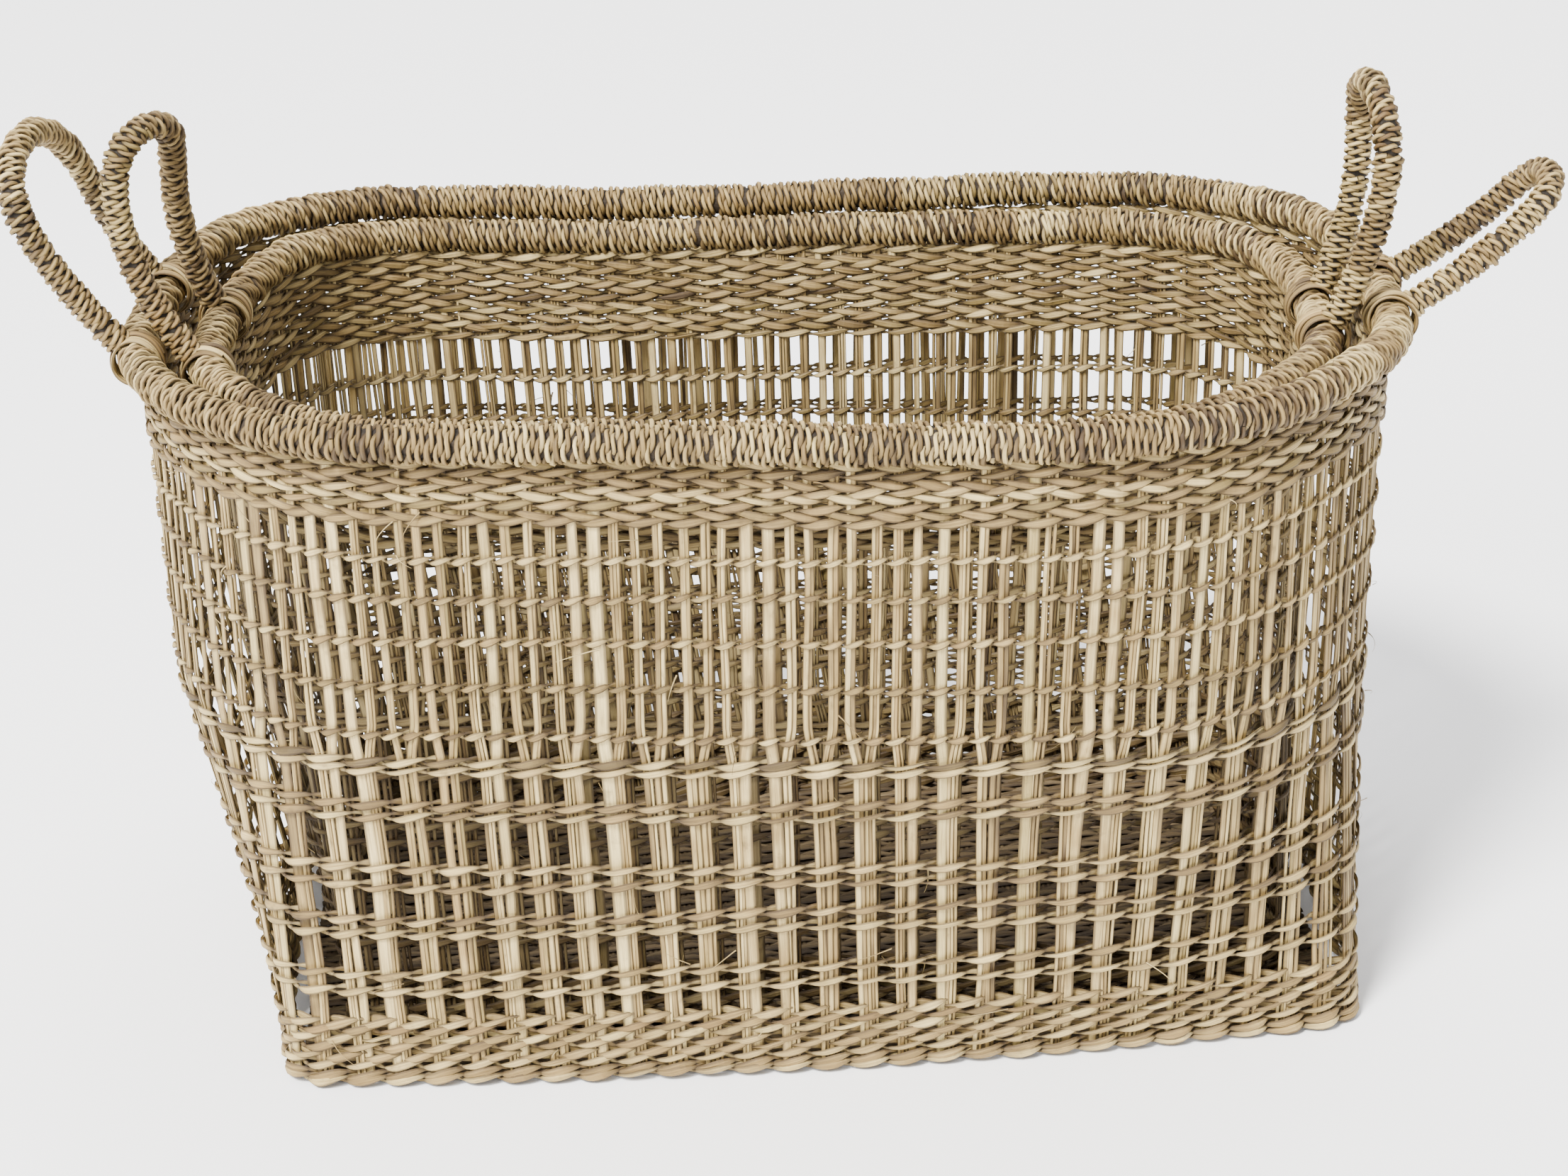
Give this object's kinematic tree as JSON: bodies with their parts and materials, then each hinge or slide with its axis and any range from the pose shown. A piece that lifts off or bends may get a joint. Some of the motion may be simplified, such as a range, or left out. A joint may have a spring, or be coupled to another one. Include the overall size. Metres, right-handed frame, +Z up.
{
  "type": "nested woven storage baskets",
  "caption": "Nested pair of open-weave seagrass storage baskets, rounded rectangular, with wrapped rims and hinged wrapped loop handles.",
  "frame": {"origin": "middle of the outer basket's underside, on the floor", "axes": "+Z up, +X along the length, toward the right-hand handles, -Y to the front"},
  "size_m": [0.7141, 0.364, 0.4518],
  "materials": {
    "woven_strands": "matt dry seagrass strand",
    "stakes": "matt flat seagrass strand bundles",
    "wrapped_cord": "matt wrapped seagrass cord",
    "floor_weave": "matt close weave",
    "hoop_core": "plain cane core"
  },
  "bodies": {
    "outer_basket": {"outer_base_band": "woven_strands", "outer_collar": "woven_strands", "outer_double_row_1": "woven_strands", "outer_double_row_2": "woven_strands", "outer_double_row_3": "woven_strands", "outer_double_row_4": "woven_strands", "outer_double_row_5": "woven_strands", "outer_floor_mat": "floor_weave", "outer_foot_braid": "woven_strands", "outer_rim_core": "hoop_core", "outer_rim_wrap": "wrapped_cord", "outer_single_row_1": "woven_strands", "outer_single_row_2": "woven_strands", "outer_single_row_3": "woven_strands", "outer_single_row_4": "woven_strands", "outer_single_row_5": "woven_strands", "outer_stakes_lower": "stakes", "outer_stakes_upper": "stakes"},
    "outer_left_handle": {"outer_left_handle_core": "hoop_core", "outer_left_handle_lashings": "wrapped_cord", "outer_left_handle_wrap": "wrapped_cord"},
    "outer_right_handle": {"outer_right_handle_core": "hoop_core", "outer_right_handle_lashings": "wrapped_cord", "outer_right_handle_wrap": "wrapped_cord"},
    "inner_basket": {"inner_base_band": "woven_strands", "inner_collar": "woven_strands", "inner_double_row_1": "woven_strands", "inner_double_row_2": "woven_strands", "inner_double_row_3": "woven_strands", "inner_double_row_4": "woven_strands", "inner_double_row_5": "woven_strands", "inner_floor_mat": "floor_weave", "inner_foot_braid": "woven_strands", "inner_rim_core": "hoop_core", "inner_rim_wrap": "wrapped_cord", "inner_single_row_1": "woven_strands", "inner_single_row_2": "woven_strands", "inner_single_row_3": "woven_strands", "inner_single_row_4": "woven_strands", "inner_stakes_lower": "stakes", "inner_stakes_upper": "stakes"},
    "inner_left_handle": {"inner_left_handle_core": "hoop_core", "inner_left_handle_lashings": "wrapped_cord", "inner_left_handle_wrap": "wrapped_cord"},
    "inner_right_handle": {"inner_right_handle_core": "hoop_core", "inner_right_handle_lashings": "wrapped_cord", "inner_right_handle_wrap": "wrapped_cord"}
  },
  "joints": [
    {"name": "inner_basket_lift", "type": "slide", "parent": "outer_basket", "child": "inner_basket", "axis": [0, 0, 1], "range_m": [0, 0.48]},
    {"name": "outer_left_handle_swing", "type": "hinge", "parent": "outer_basket", "child": "outer_left_handle", "pos_m": [-0.30249, -0.025, 0.339], "axis": [0.0576, -0.9983, 0], "range_deg": [-16, 62]},
    {"name": "outer_right_handle_swing", "type": "hinge", "parent": "outer_basket", "child": "outer_right_handle", "pos_m": [0.27676, -0.014, 0.339], "axis": [0.0018, 1, 0], "range_deg": [-36, 45]},
    {"name": "inner_left_handle_swing", "type": "hinge", "parent": "inner_basket", "child": "inner_left_handle", "pos_m": [-0.27156, -0.031, 0.331], "axis": [0.0712, -0.9975, 0], "range_deg": [-87, 2]},
    {"name": "inner_right_handle_swing", "type": "hinge", "parent": "inner_basket", "child": "inner_right_handle", "pos_m": [0.24562, -0.021, 0.331], "axis": [0.0082, 1, 0], "range_deg": [-82, 7]}
  ]
}
